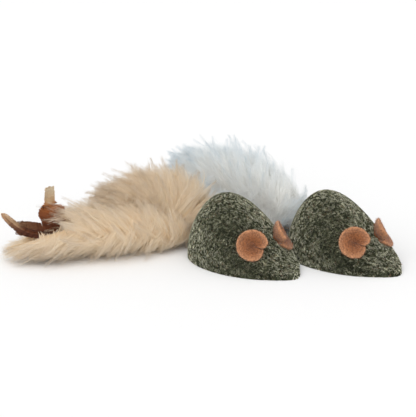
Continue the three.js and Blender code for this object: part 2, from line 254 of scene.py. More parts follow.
STRAND_FLARE_SPREAD = 0.04
STRAND_DRIFT = 0.375
STRAND_SWING = 0.25
FLOOR_GAP = 0.15
FLOOR_PILE = 5
FLOOR_PILE_POWER = 1.5
FLOOR_PRESS = 0.02
FLOOR_SPLAY = 0.7
BODY_GAP = 0.4

# Hackles: narrow cock feathers with a ragged vane on the outer part of a bare quill
HACKLE_STEM_SHARES = (0.3, 0.65, 1)
VANE_BARBS = 420
VANE_SIDE = 0.48
VANE_BELOW = 0.5
VANE_START = 0.02
VANE_SIZE_SHARES = (0.03, 0.97)
VANE_SIZE_SPREAD = (0.9, 1.06)
VANE_BARB_WIDTH = 0.6
VANE_BARB_TAPER = 0.55
VANE_BARB_ANGLE = 58
VANE_RUN_POWER = 1.2
VANE_OUT_POWER = 0.9
VANE_LIFT_SPREAD = 0.25
VANE_FACING_SPREAD = 0.25
VANE_SPLITS = 8
VANE_SPARE_SPLITS = 3
VANE_SPLIT_SHIFT = 0.35
VANE_SPLIT_SPREAD = 0.05
VANE_TIP_STEP = 0.24
VANE_CUP = 1.1
VANE_LAST = (0.93, 1)
VANE_QUILL_END = 0.84
VANE_QUILL_RINGS = 48

# Leave is the share of the length at which a hackle leaves the main plume and its vane starts. Its stem is
# there aside of the plume's spine and above it, and its bend and tip are counted from there. Past tip_from
# the vane narrows to tip_width, and split_pull draws its barbs together in groups.
HACKLES = {
    "hackle_upright": {
        "slot": 1, "width": 13.5, "leave": 0.7, "stem_aside": 7, "stem_rise": 3,
        "bend_ahead": 3.2, "bend_rise": 6.5, "tip_ahead": 3.7, "tip_rise": 19.5, "powers": (0.3, 0.15),
        "tip_from": 0.4, "tip_width": 0.42, "split_pull": 0,
    },
    "hackle_blunt": {
        "slot": 2, "width": 7, "leave": 0.66, "stem_aside": 4, "stem_rise": 1,
        "bend_ahead": 12.5, "bend_rise": 2.2, "tip_ahead": 25, "tip_rise": 5.5, "powers": (0.5, 0.15),
        "tip_from": 1, "tip_width": 1, "split_pull": 0.4,
    },
    "hackle_curled": {
        "slot": 4, "width": 3.8, "leave": 0.68, "stem_aside": 1, "stem_rise": 0,
        "bend_ahead": 19, "bend_rise": 4.5, "tip_ahead": 30.5, "tip_rise": 15.5, "powers": (0.35, 0.3),
        "tip_from": 1, "tip_width": 1, "split_pull": 0.1,
    },
}

# Each tail: its plumes, with the turn of each from straight back to the mouse's right, and how much of
# the hackles' rise it shows. Sweep is how far barbs run on along the spine, at its root and at its tip.
# Upward is the share of barbs that run over the plume's top, and crest the share of its length past which
# none do.
TAILS = {
    "mouse_a": {
        "main": {
            "length": 92, "width": 40, "height": 28, "rise": 6, "start_turn": 50, "turn": 63,
            "end_turn": 55,
            "powers": (0.4, 0.85), "sweep": (5, 27), "root_sweep": (-10, -1), "upward": 0.5, "crest": 0.58,
            "clumps": 1100, "strands": 17,
        },
        "upper": {
            "length": 48, "width": 23, "height": 36, "turn": 47, "powers": (0.2, 0.8),
            "sweep": (2, 22), "root_sweep": (-8, 0), "upward": 0.65, "crest": 1,
            "clumps": 1000, "strands": 17,
        },
        "hackle_curl": 1,
        "feather": "tan_feather",
    },
    "mouse_b": {
        "main": {
            "length": 96, "width": 24, "height": 28, "rise": 1, "start_turn": 0, "turn": 2,
            "end_turn": -6,
            "powers": (0.2, 0.6), "sweep": (3, 24), "root_sweep": (-9, 0), "upward": 0.5, "crest": 1,
            "clumps": 900, "strands": 15,
        },
        "upper": {
            "length": 84, "width": 22, "height": 40, "turn": 3, "powers": (0.2, 0.82),
            "sweep": (6, 22), "root_sweep": (-8, 1), "upward": 0.65, "crest": 1,
            "clumps": 1100, "strands": 17,
        },
        "hackle_curl": 0.3,
        "feather": "white_feather",
    },
}
SEEDS = {"mouse_a": 11, "mouse_b": 47}


# Helpers for numbers

def linear(red, green, blue):
    """A display colour, 0 to 255 a channel, as the shader takes it: the standard display curve undone."""
    channels = np.array([red, green, blue]) / 255
    low = channels / 12.92
    high = ((channels + 0.055) / 1.055) ** 2.4
    return (*np.where(channels <= 0.04045, low, high).tolist(), 1.0)


def hump(t, powers):
    """A hump over t = 0..1 that peaks at 1 and falls to 0 at both ends."""
    start, end = powers
    peak = start / (start + end)
    return t ** start * (1 - t) ** end / (peak ** start * (1 - peak) ** end)


def unit(vectors):
    length = np.linalg.norm(vectors, axis=-1, keepdims=True)
    return vectors / np.maximum(length, 1e-9)


def mix(first, second, share):
    return first * (1 - share) + second * share


def lumps(points, size, seed):
    """Smooth noise between about -1 and 1 at each point, with lumps of that size."""
    offset = Vector([seed * share for share in LUMP_OFFSETS])
    return np.array([noise.noise(Vector(point) / size + offset) for point in points])


def circle(sides):
    """Angles spread evenly over a full turn."""
    return np.linspace(0, 2 * math.pi, sides, endpoint=False)


# Helpers for meshes

def add_piece(name, points, faces, material, body, nodes=(), uv=None, smooth=True):
    """A mesh piece in millimetres for the named solids, which rides on its body unless that is None."""
    mesh = bpy.data.meshes.new(name)
    mesh.from_pydata((np.asarray(points) * MM).tolist(), [], [list(face) for face in faces])
    mesh.polygons.foreach_set("use_smooth", [smooth] * len(mesh.polygons))
    if uv is not None:
        corners = np.zeros(len(mesh.loops), dtype=np.int32)
        mesh.loops.foreach_get("vertex_index", corners)
        layer = mesh.uv_layers.new(name="OFBake")
        layer.uv.foreach_set("vector", np.asarray(uv, dtype=np.float32)[corners].ravel())
    mesh.materials.append(material)
    mesh.update()
    piece = bpy.data.objects.new(name, mesh)
    scene.collection.objects.link(piece)
    if body:
        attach(piece, body)
    if nodes:
        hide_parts(*nodes)
    return piece


def add_attribute(piece, name, values):
    attribute = piece.data.attributes.new(name, "FLOAT", "POINT")
    attribute.data.foreach_set("value", np.asarray(values, dtype=np.float32))


def grid_faces(rows, columns, closed):
    """Quads over a grid of rows by columns, joined round each row if it is closed."""
    index = np.arange(rows * columns).reshape(rows, columns)
    after = np.roll(index, -1, axis=1)
    if not closed:
        index, after = index[:, :-1], after[:, :-1]
    return np.stack([index[:-1], after[:-1], after[1:], index[1:]], axis=-1).reshape(-1, 4)


def capped_faces(rows, columns, closed):
    """The quads of a grid, with one more face over its first row and one over its last."""
    faces = grid_faces(rows, columns, closed).tolist()
    last = (rows - 1) * columns
    faces.append(list(range(columns))[::-1])
    faces.append(list(range(last, last + columns)))
    return faces


def tube(spine, shares, radii, sides):
    """Points and faces of a tube along a spine, closed at both ends."""
    centre, _, left, rise = spine.at(np.asarray(shares))
    angle = circle(sides)[None, :, None]
    ring = left[:, None] * np.cos(angle) + rise[:, None] * np.sin(angle)
    points = centre[:, None] + ring * np.asarray(radii)[:, None, None]
    return points.reshape(-1, 3), capped_faces(len(shares), sides, closed=True)


def ribbons(paths, facing, widths, columns):
    """Flat strands along paths, each facing its own way; UV x tells strands apart and y runs to the tip."""
    count, steps, _ = paths.shape
    along = unit(np.gradient(paths, axis=1))
    half = unit(np.cross(along, facing)) * widths[..., None] / 2
    points = np.stack([paths - half, paths + half], axis=2)
    index = np.arange(count * steps * 2).reshape(count, steps, 2)
    corners = [index[:, :-1, 0], index[:, :-1, 1], index[:, 1:, 1], index[:, 1:, 0]]
    faces = np.stack(corners, axis=-1).reshape(-1, 4)
    uv = np.zeros((count, steps, 2, 2))
    uv[..., 0] = columns[:, None, None] + np.array([0, 1 / BARB_COLUMNS])
    uv[..., 1] = np.linspace(0, 1, steps)[None, :, None]
    return points.reshape(-1, 3), faces, uv.reshape(-1, 2)


def join(*parts):
    """Several lots of points and faces as one."""
    faces = []
    count = 0
    for points, own_faces in parts:
        faces.extend([[corner + count for corner in face] for face in own_faces])
        count += len(points)
    return np.concatenate([points for points, _ in parts]), faces


# Helpers for materials, with the places of a mix node's share, its two colours and its result
MIX_INPUTS = (0, 6, 7)
MIX_OUTPUT = 2


def new_material(name, roughness, specular=0.3, sheen=0.0):
    material = bpy.data.materials.new(name)
    material.use_nodes = True
    shader = material.node_tree.nodes["Principled BSDF"]
    shader.inputs["Roughness"].default_value = roughness
    shader.inputs["Specular IOR Level"].default_value = specular
    shader.inputs["Sheen Weight"].default_value = sheen
    return material, shader


def link(owner, output, socket):
    owner.node_tree.links.new(output, socket)


def add_node(owner, kind, inputs=None, **settings):
    """A shader node whose inputs are set to values, or linked where a socket is given."""
    node = owner.node_tree.nodes.new(kind)
    for name, value in settings.items():
        setattr(node, name, value)
    for name, value in (inputs or {}).items():
        if isinstance(value, bpy.types.NodeSocket):
            link(owner, value, node.inputs[name])
        else:
            node.inputs[name].default_value = value
    return node


def grey(level):
    return (level, level, level, 1)


def ramp(material, share, stops):
    """Colours along a share from 0 to 1."""
    node = add_node(material, "ShaderNodeValToRGB", {"Fac": share})
    elements = node.color_ramp.elements
    while len(elements) < len(stops):
        elements.new(0.5)
    for element, (place, colour) in zip(elements, stops):
        element.position = place
        element.color = colour
    return node.outputs["Color"]


def noise_share(material, vector, scale, detail=2.0):
    node = add_node(material, "ShaderNodeTexNoise", {"Vector": vector, "Scale": scale, "Detail": detail})
    return node.outputs["Fac"]


def object_place(material):
    return add_node(material, "ShaderNodeTexCoord").outputs["Object"]


def mixed(material, share, first, second, blend="MIX"):
    """A mix of two colours by a share."""
    inputs = dict(zip(MIX_INPUTS, (share, first, second)))
    node = add_node(material, "ShaderNodeMix", inputs, data_type="RGBA", blend_type=blend)
    return node.outputs[MIX_OUTPUT]


def paint(material, shader, colour, shading=None):
    """Gives the shader a colour, times a shading where there is one."""
    shown = colour if shading is None else mixed(material, 1.0, colour, shading, "MULTIPLY")
    link(material, shown, shader.inputs["Base Color"])
    return shown


def add_bump(material, shader, height, distance):
    node = add_node(material, "ShaderNodeBump", {"Height": height, "Distance": distance * MM})
    link(material, node.outputs["Normal"], shader.inputs["Normal"])


def let_light_through(material, shader, colour):
    """About half of the light goes on through a strand, as it does through down."""
    through = add_node(material, "ShaderNodeBsdfTranslucent", {"Color": colour})
    both = add_node(material, "ShaderNodeMixShader", {"Fac": BARB_TRANSLUCENCY})
    link(material, shader.outputs["BSDF"], both.inputs[1])
    link(material, through.outputs["BSDF"], both.inputs[2])
    output = material.node_tree.nodes["Material Output"]
    link(material, both.outputs["Shader"], output.inputs["Surface"])


def baked_place(material):
    """The strand's own place: x tells strands apart, y runs from root to tip."""
    place = add_node(material, "ShaderNodeUVMap", uv_map="OFBake").outputs["UV"]
    parts = add_node(material, "ShaderNodeSeparateXYZ", {"Vector": place})
    return place, parts.outputs["X"], parts.outputs["Y"]


# Materials

def cloudy_material(name, stops, scale, detail=2.0, bump=0, **finish):
    """A material whose colours, and bumps of that height, follow one noise."""
    material, shader = new_material(name, **finish)
    cloud = noise_share(material, object_place(material), scale, detail)
    paint(material, shader, ramp(material, cloud, stops))
    if bump:
        add_bump(material, shader, cloud, bump)
    return material


def catnip_flake_material():
    material, shader = new_material("catnip_flakes", roughness=0.7, specular=0.35)
    _, tone, shade = baked_place(material)
    stops = [
        (0.0, linear(30, 34, 23)), (0.42, linear(74, 78, 57)), (0.6, linear(132, 135, 106)),
        (0.74, linear(200, 200, 171)), (0.85, linear(252, 250, 229)), (0.97, linear(255, 253, 235)),
        (0.985, linear(150, 116, 90)), (1.0, linear(176, 138, 110)),
    ]
    colour = ramp(material, tone, stops)
    shading = ramp(material, shade, [(0.0, grey(0.8)), (1.0, (1.15, 1.15, 1.12, 1))])
    paint(material, shader, colour, shading)
    return material


def felt_material():
    material, shader = new_material("felt", roughness=0.95, specular=0.1, sheen=0.25)
    shader.inputs["Sheen Roughness"].default_value = 0.6
    place = object_place(material)
    # Painted shade: the felt is painted darker in the middle of its dish and lighter out to the rim, by how
    # far out each point is
    share = add_node(material, "ShaderNodeAttribute", attribute_name="rim_share").outputs["Fac"]
    stops = [(0.0, linear(100, 56, 28)), (0.55, linear(150, 94, 56)), (1.0, linear(190, 136, 98))]
    colour = ramp(material, share, stops)
    fibres = noise_share(material, place, scale=1500, detail=5)
    mottle = ramp(material, fibres, [(0.32, (0.5, 0.46, 0.42, 1)), (0.68, (1.3, 1.3, 1.32, 1))])
    paint(material, shader, colour, mottle)
    add_bump(material, shader, fibres, distance=0.5)
    return material


def barb_material(name, root, middle, tip, shaded_tuft_tip, spread):
    """Down that changes from root to tip, with strands a little lighter and darker by turns. The warmer
    root is painted shade deep in the plume, and the greyer tips, most of all on tufts, are painted shade on
    the thin fringe.
    """
    material, shader = new_material(name, roughness=0.75, specular=0.2, sheen=0.15)
    _, tone, along = baked_place(material)
    smooth = ramp(material, along, [(0.0, root), (0.45, middle), (0.7, middle), (1.0, tip)])
    tufted = ramp(material, along, [(0.0, root), (0.45, middle), (0.8, tip), (1.0, shaded_tuft_tip)])
    tested = {0: tone, 1: 1 - TUFT_COLUMNS / BARB_COLUMNS}
    in_tuft = add_node(material, "ShaderNodeMath", tested, operation="GREATER_THAN").outputs[0]
    colour = mixed(material, in_tuft, smooth, tufted)
    varied = ramp(material, tone, [(0.0, grey(1 - spread)), (1.0, grey(1))])
    shown = paint(material, shader, colour, varied)
    let_light_through(material, shader, shown)
    return material


def hackle_material(name, above, below):
    """A vane with colours from root to tip for the barbs above its quill, and the same a little darker for
    those below, as painted shade.
    """
    material, shader = new_material(name, roughness=0.55, specular=0.3, sheen=0.1)
    place, share, _ = baked_place(material)
    stops = [(VANE_SIDE * reach, colour) for reach, colour in above]
    stops = stops + [(VANE_BELOW + VANE_SIDE * reach, colour) for reach, colour in below]
    colour = ramp(material, share, stops)
    streaks = noise_share(material, place, scale=60, detail=3)
    varied = ramp(material, streaks, [(0.3, (0.74, 0.72, 0.7, 1)), (0.7, grey(1.14))])
    paint(material, shader, colour, varied)
    return material


def floor_material():
    material, shader = new_material("floor", roughness=0.9, specular=0.1)
    shader.inputs["Base Color"].default_value = grey(FLOOR_TONE)
    return material


MATERIALS = {
    "core": cloudy_material(
        "catnip_core",
        [(0.3, linear(34, 37, 27)), (0.5, linear(60, 63, 48)), (0.72, linear(96, 99, 78))],
        scale=1100, detail=4, bump=0.3, roughness=0.95, specular=0.15),
    "flakes": catnip_flake_material(),
    "felt": felt_material(),
    "glue": cloudy_material(
        "glue", [(0.3, linear(186, 164, 120)), (0.7, linear(214, 198, 160))], scale=700, roughness=0.4),
    "thread": cloudy_material(
        "thread", [(0.3, linear(150, 98, 58)), (0.7, linear(198, 146, 98))],
        scale=2400, detail=4, bump=0.15, roughness=0.85, sheen=0.2),
    "quill": cloudy_material(
        "quill", [(0.3, linear(206, 172, 124)), (0.7, linear(228, 206, 168))], scale=500, roughness=0.45),
    "brown_quill": cloudy_material(
        "brown_quill", [(0.3, linear(104, 62, 40)), (0.7, linear(140, 92, 62))], scale=500, roughness=0.45),
    # Tan and white down, warmer at the root and greyer at the tips and tuft tips: painted shade in the
    # plume's depth and on its fringe
    "tan_feather": barb_material(
        "tan_barbs", linear(253, 236, 207), linear(254, 244, 226), linear(238, 226, 208),
        linear(214, 201, 184), 0.04),
    "white_feather": barb_material(
        "white_barbs", linear(254, 253, 250), linear(254, 254, 252), linear(242, 246, 248),
        linear(212, 221, 226), 0.03),
    # In each hackle the barbs below the quill get a darker copy of the colours above it: painted shade
    "hackle_upright": hackle_material(
        "hackle_upright_barbs",
        [(0, linear(142, 84, 48)), (0.45, linear(164, 98, 54)), (0.6, linear(196, 120, 60)),
         (0.72, linear(214, 182, 142)), (1, linear(220, 202, 174))],
        [(0, linear(126, 70, 42)), (0.45, linear(146, 84, 48)), (0.6, linear(178, 108, 56)),
         (0.72, linear(206, 172, 132)), (1, linear(216, 200, 172))]),
    "hackle_blunt": hackle_material(
        "hackle_blunt_barbs",
        [(0, linear(96, 44, 26)), (0.5, linear(126, 72, 46)), (1, linear(158, 118, 88))],
        [(0, linear(88, 40, 24)), (0.5, linear(114, 62, 40)), (1, linear(146, 102, 74))]),
    "hackle_curled": hackle_material(
        "hackle_curled_barbs",
        [(0, linear(94, 46, 28)), (0.55, linear(118, 70, 44)), (0.72, linear(196, 162, 126)),
         (1, linear(214, 182, 146))],
        [(0, linear(84, 38, 24)), (0.6, linear(104, 60, 40)), (1, linear(186, 146, 110))]),
}


# Camera, light and floor

def make_camera():
    azimuth = math.radians(CAMERA_AZIMUTH)
    elevation = math.radians(CAMERA_ELEVATION)
    level = math.cos(elevation)
    ahead = Vector((-math.sin(azimuth) * level, math.cos(azimuth) * level, -math.sin(elevation)))
    right = Vector((math.cos(azimuth), math.sin(azimuth), 0))
    above = right.cross(ahead)
    across = (AIM_PIXEL[0] - PICTURE_WIDTH / 2) / PIXELS_PER_MM
    below = (AIM_PIXEL[1] - PICTURE_HEIGHT / 2) / PIXELS_PER_MM
    place = Vector(AIM_POINT) - ahead * CAMERA_DISTANCE - right * across + above * below
    data = bpy.data.cameras.new("camera")
    data.sensor_fit = "HORIZONTAL"
    data.sensor_width = SENSOR_WIDTH
    data.lens = SENSOR_WIDTH * PIXELS_PER_MM * CAMERA_DISTANCE / PICTURE_WIDTH
    camera = bpy.data.objects.new("camera", data)
    camera.location = place * MM
    camera.rotation_euler = ahead.to_track_quat("-Z", "Y").to_euler()
    scene.collection.objects.link(camera)
    scene.camera = camera


def make_sky():
    """An even sky that lights the set at its level and shows white to the camera."""
    world = bpy.data.worlds.new("studio")
    world.use_nodes = True
    scene.world = world
    seen = add_node(world, "ShaderNodeLightPath").outputs["Is Camera Ray"]
    level = add_node(world, "ShaderNodeMapRange", {"Value": seen, "To Min": SKY_LEVEL, "To Max": 1})
    background = world.node_tree.nodes["Background"]
    background.inputs["Color"].default_value = grey(1)
    link(world, level.outputs["Result"], background.inputs["Strength"])


def make_lamp():
    data = bpy.data.lights.new("lamp", "SUN")
    data.energy = math.pi * LAMP_LEVEL
    data.angle = math.radians(LAMP_SPREAD)
    lamp = bpy.data.objects.new("lamp", data)
    lamp.rotation_euler = (math.radians(LAMP_TILT), 0, math.radians(LAMP_HEADING))
    scene.collection.objects.link(lamp)


def make_floor():
    angle = circle(FLOOR_SIDES)
    points = np.stack([np.cos(angle), np.sin(angle), 0 * angle], axis=-1) * FLOOR_RADIUS * MM
    mesh = bpy.data.meshes.new("floor")
    mesh.from_pydata(points.tolist(), [], [list(range(len(points)))])
    mesh.materials.append(floor_material())
    floor = bpy.data.objects.new("floor", mesh)
    scene.collection.objects.link(floor)


# Pressed body, in the mouse's own frame

def body_half_width(t):
    return BODY_WIDTH / 2 * hump(t, PLAN_POWERS)


def body_dome(t):
    return (BODY_HEIGHT - BODY_RIM) * hump(t, BACK_POWERS)


def body_grid():
    """Rows of points along the body's skin, each from the left edge over the back to the right edge."""
    turn = np.linspace(0, math.pi, BODY_STATIONS + 1)[1:-1]
    t = ((1 - np.cos(turn)) / 2)[:, None]
    angle = np.linspace(0, math.pi, SECTION_STEPS + 1)[None]
    cosine = np.cos(angle)
    across = np.sign(cosine) * np.abs(cosine) ** (2 / SECTION_POWER)
    rise = np.maximum(np.sin(angle), 0) ** (2 / SECTION_POWER)
    half_width = body_half_width(t)
    y = half_width * across
    z = BODY_RIM + body_dome(t) * rise
    rim = np.linspace(0, BODY_RIM, RIM_STEPS + 1)[None, :-1] + 0 * t
    y = np.concatenate([half_width + 0 * rim, y, -half_width + 0 * rim], axis=1)
    z = np.concatenate([rim, z, rim[:, ::-1]], axis=1)
    lip = NOSE_LIP * np.clip((t - NOSE_LIP_START) / (1 - NOSE_LIP_START), 0, 1) ** 2
    x = (t - 0.5) * BODY_LENGTH + lip * np.clip(1 - z / EDGE_HEIGHT, 0, 1)
    return np.stack([x, y, z], axis=-1)


def inward_normals(grid):
    """The way into the body, or into the felt, at each point of a grid."""
    along = np.gradient(grid, axis=0)
    across = np.gradient(grid, axis=1)
    return unit(np.cross(along, across))


def core_mesh(seed):
    """The dark ground between the flakes: a lumpy egg, ragged along its lower edge."""
    grid = body_grid()
    inward = inward_normals(grid)
    rows, columns, _ = grid.shape
    points = (grid - inward * CORE_OUTSET).reshape(-1, 3)
    dent = CORE_LUMP_HEIGHT * lumps(points, CORE_LUMP_SIZE, seed)
    low = np.clip(1 - points[:, 2] / EDGE_HEIGHT, 0, 1)
    dent = dent + EDGE_RAGGED * low * lumps(points, EDGE_LUMP_SIZE, seed + EDGE_SEED_STEP)
    points = points + inward.reshape(-1, 3) * dent[:, None]
    points[:, 2] = np.maximum(points[:, 2], 0)
    left_edge = np.arange(rows) * columns
    right_edge = left_edge + columns - 1
    base = left_edge.tolist() + right_edge.tolist()[::-1]
    return points, [*capped_faces(rows, columns, closed=False), base]


def scatter(grid, count, rng):
    """Places on a skin, spread evenly by area, with the way into it there."""
    inward = inward_normals(grid)
    corner = grid[:-1, :-1]
    along = grid[1:, :-1] - corner
    across = grid[:-1, 1:] - corner
    area = np.linalg.norm(np.cross(along, across), axis=-1).ravel()
    chosen = rng.choice(len(area), size=count, p=area / area.sum())
    shares = rng.random((count, 2, 1))
    lots = (corner, along, across, inward[:-1, :-1])
    corner, along, across, inward = (lot.reshape(-1, 3)[chosen] for lot in lots)
    return corner + along * shares[:, 0] + across * shares[:, 1], inward


def flake_mesh(rng):
    """Chips of leaf and stalk: open boxes, sunk and tilted each its own way, whose walls stand out."""
    places, inward = scatter(body_grid(), FLAKE_COUNT, rng)
    count = len(places)
    first = unit(np.cross(inward, rng.normal(size=(count, 3))))
    second = np.cross(inward, first)
    length = FLAKE_LENGTH * np.exp(rng.normal(0, FLAKE_LENGTH_SPREAD, count))
    width = np.minimum(FLAKE_WIDTH * np.exp(rng.normal(0, FLAKE_WIDTH_SPREAD, count)), length)
    sink = FLAKE_SINK * rng.random(count)
    tilt = rng.normal(0, FLAKE_TILT, (count, 2))
    corners = np.array([[-1, -1], [1, -1], [1, 1], [-1, 1]]) / 2
    skew = 1 + rng.uniform(*FLAKE_SKEW, (count, *corners.shape))
    flat = corners[None] * skew * np.stack([length, width], axis=-1)[:, None]
    depth = sink[:, None] + np.einsum("ncd,nd->nc", flat, tilt)
    spread = first[:, None] * flat[..., :1] + second[:, None] * flat[..., 1:]
    bottom = places[:, None] + spread + inward[:, None] * depth[..., None]
    rim = places[:, None] + FLAKE_WALL_SPLAY * spread - inward[:, None] * FLAKE_WALL
    points = np.concatenate([bottom, rim], axis=1)
    points[..., 2] = np.maximum(points[..., 2], FLAKE_FLOOR_GAP)
    faces = np.array([[0, 1, 2, 3], [0, 4, 5, 1], [1, 5, 6, 2], [2, 6, 7, 3], [3, 7, 4, 0]])
    index = np.arange(count)[:, None, None] * points.shape[1] + faces[None]
    cell = rng.integers(0, TONE_CELLS, (count, 1, 2))
    inside = np.concatenate([corners, corners]) * TONE_CELL_FILL + 0.5
    uv = (cell + inside[None]) / TONE_CELLS
    return points.reshape(-1, 3), index.reshape(-1, 4), uv.reshape(-1, 2)


def body_level(points, margin):
    """How far out points are in the body's cross sections: 1 at its skin, less inside it."""
    t = np.clip(points[..., 0] / BODY_LENGTH + 0.5, BODY_END_MARGIN, 1 - BODY_END_MARGIN)
    across = np.abs(points[..., 1]) / (body_half_width(t) + margin)
    above = np.maximum(points[..., 2] - BODY_RIM, 0) / (body_dome(t) + margin)
    return (across ** SECTION_POWER + above ** SECTION_POWER) ** (1 / SECTION_POWER)


def body_push(points, margin):
    """Points that lie inside the body, moved out to its skin; points are in the mouse's own frame."""
    level = body_level(points, margin)
    inside = (np.abs(points[..., 0]) < BODY_LENGTH / 2) & (level < 1)
    scale = np.where(inside, 1 / np.maximum(level, LEAST_BODY_LEVEL), 1)
    pushed = points.copy()
    pushed[..., 1] = points[..., 1] * scale
    lifted = BODY_RIM + (points[..., 2] - BODY_RIM) * scale
    pushed[..., 2] = np.where(points[..., 2] > BODY_RIM, lifted, points[..., 2])
    return pushed


def make_body(prefix, place, rng):
    points, faces = core_mesh(SEEDS[prefix])
    node = f"{prefix}_body"
    add_piece(f"{prefix}_catnip_core", points + place, faces, MATERIALS["core"], prefix, [node])
    points, faces, uv = flake_mesh(rng)
    name = f"{prefix}_catnip_flakes"
    add_piece(name, points + place, faces, MATERIALS["flakes"], prefix, uv=uv, smooth=False)


# Felt ears

def ear_frame():
    """The right ear's own frame: +Z looks out of the disc and +X, where the dart is, forward and in."""
    splay = math.radians(EAR_SPLAY)
    tilt = math.radians(EAR_TILT)
    level = math.cos(tilt)
    facing = Vector((math.cos(splay) * level, -math.sin(splay) * level, math.sin(tilt)))
    dart = Vector((1, EAR_DART_INWARDS, -EAR_DART_DROP))
    dart = (dart - facing * dart.dot(facing)).normalized()
    across = facing.cross(dart)
    y = -EAR_SPREAD / 2
    t = EAR_FORWARD / BODY_LENGTH + 0.5
    across_share = abs(y) / body_half_width(t)
    height = BODY_RIM + body_dome(t) * (1 - across_share ** SECTION_POWER) ** (1 / SECTION_POWER)
    axes = np.array([dart, across, facing])
    return axes, np.array([EAR_FORWARD, y, height])


def closeness(angle, reach):
    """1 where an angle is 0, falling to 0 at a reach in degrees."""
    return np.clip(1 - angle / math.radians(reach), 0, 1)


def ear_rim(angle):
    """The disc's outline, which draws in to a notch at the dart."""
    upper = closeness(angle, EAR_UPPER_LOBE_ANGLE) ** 2
    lower = closeness(2 * math.pi - angle, EAR_LOWER_LOBE_ANGLE)
    return EAR_DIAMETER / 2 - EAR_NOTCH_DEPTH * (upper + lower)


def ear_skin(radius, angle, side):
    """Height of the felt's skin: side 1 is the outer face and -1 the inner one."""
    rim = EAR_DIAMETER / 2
    dish = EAR_STANDOFF + EAR_THICKNESS / 2 + EAR_DISH * (radius / rim) ** 2
    upper = closeness(angle, EAR_LIP_ANGLE) ** 2
    lower = closeness(2 * math.pi - angle, EAR_LIP_ANGLE) ** 2
    fold = (EAR_LIP_RISE * upper - EAR_LIP_DROP * lower) * (radius / rim)
    roll = EAR_ROLL * np.clip((radius / rim - EAR_ROLL_START) / EAR_ROLL_SPAN, 0, 1) ** 2
    return dish + fold + roll + side * EAR_THICKNESS / 2


def ear_bend(back):
    """How far the soft felt is bent outwards where its back would go into the body."""
    axes, centre = ear_frame()
    bend = np.zeros(back.shape[:-1])
    for _ in range(int(EAR_BEND_MOST / EAR_BEND_STEP)):
        lifted = back + bend[..., None] * UP
        inside = body_level(lifted @ axes + centre, BODY_GAP) < 1
        bend = bend + EAR_BEND_STEP * inside
    for _ in range(EAR_BEND_SMOOTHING):
        bend = (np.roll(bend, 1, axis=0) + 2 * bend + np.roll(bend, -1, axis=0)) / 4
    return bend


def ear_grid():
    """The disc's skin, out along its outer face, round its edge and back, and the points' rim shares."""
    edge = EAR_THICKNESS / 2
    gap = math.radians(EAR_DART_HALF_ANGLE)
    angle = np.linspace(-gap, 2 * math.pi - 2 * gap, EAR_SPOKES)[:, None]
    span = np.clip(angle, 0, 2 * math.pi)
    rim = ear_rim(span)
    face = np.linspace(EAR_CENTRE, 1, EAR_RINGS)[None] * (rim - edge)
    turn = np.linspace(0, math.pi, EAR_EDGE_STEPS + 2)[None, 1:-1] + 0 * angle
    radius = np.concatenate([face, rim - edge + edge * np.sin(turn), face[:, ::-1]], axis=1)
    side = np.concatenate([1 + 0 * face, np.cos(turn), -1 + 0 * face], axis=1)
    flat = [radius * np.cos(angle), radius * np.sin(angle)]
    grid = np.stack([*flat, ear_skin(radius, span, side)], axis=-1)
    back = np.stack([*flat, ear_skin(radius, span, -1)], axis=-1)
    grid[..., 2] += ear_bend(back)
    return grid, radius / rim


def ear_mesh(seed, rng):
    """The lumpy felt disc with its loose fibres, and how far out to the rim each point is, which sets the
    felt's painted shade.
    """
    grid, share = ear_grid()
    rows, columns, _ = grid.shape
    faces = grid_faces(rows, columns, closed=False).tolist()
    faces.append(list(range(columns)))
    faces.append(list(range((rows - 1) * columns, rows * columns))[::-1])
    points = grid.reshape(-1, 3)
    swell = EAR_LUMP_HEIGHT * lumps(points, EAR_LUMP_SIZE, seed)
    points = points - inward_normals(grid).reshape(-1, 3) * swell[:, None]
    fuzz = fuzz_mesh(grid, rng)
    points, faces = join((points, faces), fuzz)
    shares = np.concatenate([share.ravel(), np.full(len(fuzz[0]), FUZZ_SHADE_SHARE)])
    return points, faces, shares


def fuzz_mesh(grid, rng):
    """Loose felt fibres that stand off the skin."""
    places, inward = scatter(grid, FUZZ_COUNT, rng)
    out = -inward
    lean = unit(out + FUZZ_LEAN * rng.normal(size=out.shape))
    lean = np.where((lean * out).sum(axis=-1, keepdims=True) < 0, -lean, lean)
    length = FUZZ_LENGTH * rng.uniform(FUZZ_SHORTEST, 1, (len(places), 1, 1))
    t = np.linspace(0, 1, FUZZ_POINTS)[None, :, None]
    curl = unit(lean + FUZZ_CURL_SPREAD * rng.normal(size=out.shape))
    paths = places[:, None] + length * (lean[:, None] * t + FUZZ_CURL * curl[:, None] * t ** 2)
    facing = np.repeat(unit(np.cross(lean, rng.normal(size=lean.shape)))[:, None], FUZZ_POINTS, axis=1)
    widths = FUZZ_WIDTH * (1 - FUZZ_TAPER * t[..., 0]) + np.zeros(paths.shape[:2])
    points, faces, _ = ribbons(paths, facing, widths, np.zeros(len(paths)))
    return points, faces.tolist()


def ear_root():
    """The pinched root that goes into the socket."""
    radius = EAR_ROOT_DIAMETER / 2
    shares = np.linspace(0, 1, EAR_ROOT_RINGS)
    heights = mix(-EAR_ROOT_DEPTH, EAR_STANDOFF + EAR_THICKNESS / 2, shares)
    spine = Spine(np.stack([0 * heights, 0 * heights, heights], axis=-1))
    return tube(spine, shares, radius * (1 + EAR_ROOT_FLARE * shares ** 2), ROUND_SIDES)


